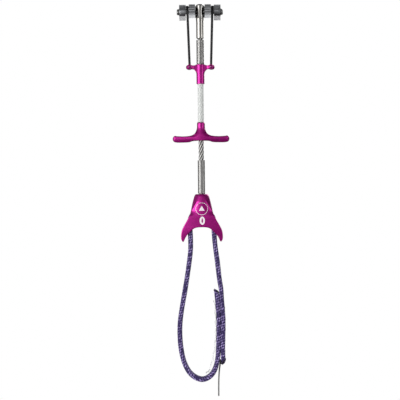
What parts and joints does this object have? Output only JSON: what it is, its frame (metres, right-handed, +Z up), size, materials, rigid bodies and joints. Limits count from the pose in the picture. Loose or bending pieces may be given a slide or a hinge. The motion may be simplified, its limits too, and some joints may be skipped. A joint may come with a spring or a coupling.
{
  "type": "spring loaded camming device",
  "caption": "Spring-loaded cam anchor: toothed cams on an axle, wire rope stem, finger trigger that folds the cams, thumb rest and sewn sling.",
  "frame": {"origin": "middle of the axle that the cams turn on", "axes": "+Z up the stem from the sling to the axle, +X along the axle, and -Y the side with the size mark"},
  "size_m": [0.0414, 0.0158, 0.2861],
  "materials": {
    "terminal_steel": "polished stainless steel",
    "axle_steel": "satin stainless steel",
    "washer_steel": "dark oxide",
    "cam_alloy": "machined, satin",
    "spring_wire": "black oxide",
    "trigger_cord": "braided, black",
    "ferrule": "swaged, satin",
    "trigger_magenta": "anodised magenta, satin",
    "anchor": "satin",
    "clear_tube": "translucent, glossy",
    "wire_rope": "stranded, galvanised",
    "sheath_steel": "close-wound stainless strip",
    "stop_steel": "swaged",
    "thumb_rest_magenta": "anodised magenta, gloss",
    "webbing": "woven, purple with paler flecks",
    "label_tape": "woven tape, white",
    "tag_sheet": "thin sheet, grey"
  },
  "bodies": {
    "stem": {"head_terminal": "terminal_steel", "axle": "axle_steel", "axle_end_washers": "axle_steel", "spacer_washers": "washer_steel", "cam_spring_left": "spring_wire", "cam_spring_right": "spring_wire", "stem_cable": "wire_rope", "upper_sheath": "sheath_steel", "lower_sheath": "sheath_steel", "cable_stop": "stop_steel", "thumb_rest": "thumb_rest_magenta", "sling": "webbing", "sewn_label": "label_tape", "care_tag": "tag_sheet"},
    "trigger": {"finger_trigger": "trigger_magenta", "pull_tube": "clear_tube", "cord_slider": "trigger_magenta", "cord_anchors": "anchor"},
    "cam_inner_left": {"cam_inner_left": "cam_alloy"},
    "cam_inner_right": {"cam_inner_right": "cam_alloy"},
    "cam_outer_left": {"cam_outer_left": "cam_alloy"},
    "cam_outer_right": {"cam_outer_right": "cam_alloy"},
    "cord_inner_left": {"cord_inner_left": "trigger_cord", "cord_end_inner_left": "ferrule"},
    "cord_inner_right": {"cord_inner_right": "trigger_cord", "cord_end_inner_right": "ferrule"},
    "cord_outer_left": {"cord_outer_left": "trigger_cord", "cord_end_outer_left": "ferrule"},
    "cord_outer_right": {"cord_outer_right": "trigger_cord", "cord_end_outer_right": "ferrule"}
  },
  "joints": [
    {"name": "trigger_slide", "type": "slide", "parent": "stem", "child": "trigger", "axis": [0, 0, -1], "range_m": [0, 0.0078], "stiffness_N_per_m": 300, "springref_m": -0.02},
    {"name": "cam_inner_left_turn", "type": "hinge", "parent": "stem", "child": "cam_inner_left", "pos_m": [-0.0058, 0, 0], "axis": [1, 0, 0], "range_deg": [0, 100], "deforming": ["cam_spring_left"]},
    {"name": "cam_inner_right_turn", "type": "hinge", "parent": "stem", "child": "cam_inner_right", "pos_m": [0.0058, 0, 0], "axis": [1, 0, 0], "range_deg": [0, 100], "deforming": ["cam_spring_right"]},
    {"name": "cam_outer_left_turn", "type": "hinge", "parent": "stem", "child": "cam_outer_left", "pos_m": [-0.0127, 0, 0], "axis": [-1, 0, 0], "range_deg": [0, 100]},
    {"name": "cam_outer_right_turn", "type": "hinge", "parent": "stem", "child": "cam_outer_right", "pos_m": [0.0127, 0, 0], "axis": [-1, 0, 0], "range_deg": [0, 100]},
    {"name": "cord_inner_left_swing", "type": "hinge", "parent": "trigger", "child": "cord_inner_left", "pos_m": [-0.0078, -0.0013, -0.0402], "axis": [-1, 0, 0], "range_deg": [0, 3.78]},
    {"name": "cord_inner_right_swing", "type": "hinge", "parent": "trigger", "child": "cord_inner_right", "pos_m": [0.0078, -0.0013, -0.0402], "axis": [-1, 0, 0], "range_deg": [0, 3.78]},
    {"name": "cord_outer_left_swing", "type": "hinge", "parent": "trigger", "child": "cord_outer_left", "pos_m": [-0.0078, 0.0013, -0.0402], "axis": [1, 0, 0], "range_deg": [0, 3.78]},
    {"name": "cord_outer_right_swing", "type": "hinge", "parent": "trigger", "child": "cord_outer_right", "pos_m": [0.0078, 0.0013, -0.0402], "axis": [1, 0, 0], "range_deg": [0, 3.78]}
  ],
  "couplings": [
    {"joint": "cam_inner_left_turn", "follows": "trigger_slide", "rad_per_m": 223.7},
    {"joint": "cam_inner_right_turn", "follows": "trigger_slide", "rad_per_m": 223.7},
    {"joint": "cam_outer_left_turn", "follows": "trigger_slide", "rad_per_m": 223.7},
    {"joint": "cam_outer_right_turn", "follows": "trigger_slide", "rad_per_m": 223.7},
    {"joint": "cord_inner_left_swing", "follows": "trigger_slide", "rad_per_m": 8.44},
    {"joint": "cord_inner_right_swing", "follows": "trigger_slide", "rad_per_m": 8.44},
    {"joint": "cord_outer_left_swing", "follows": "trigger_slide", "rad_per_m": 8.44},
    {"joint": "cord_outer_right_swing", "follows": "trigger_slide", "rad_per_m": 8.44}
  ]
}
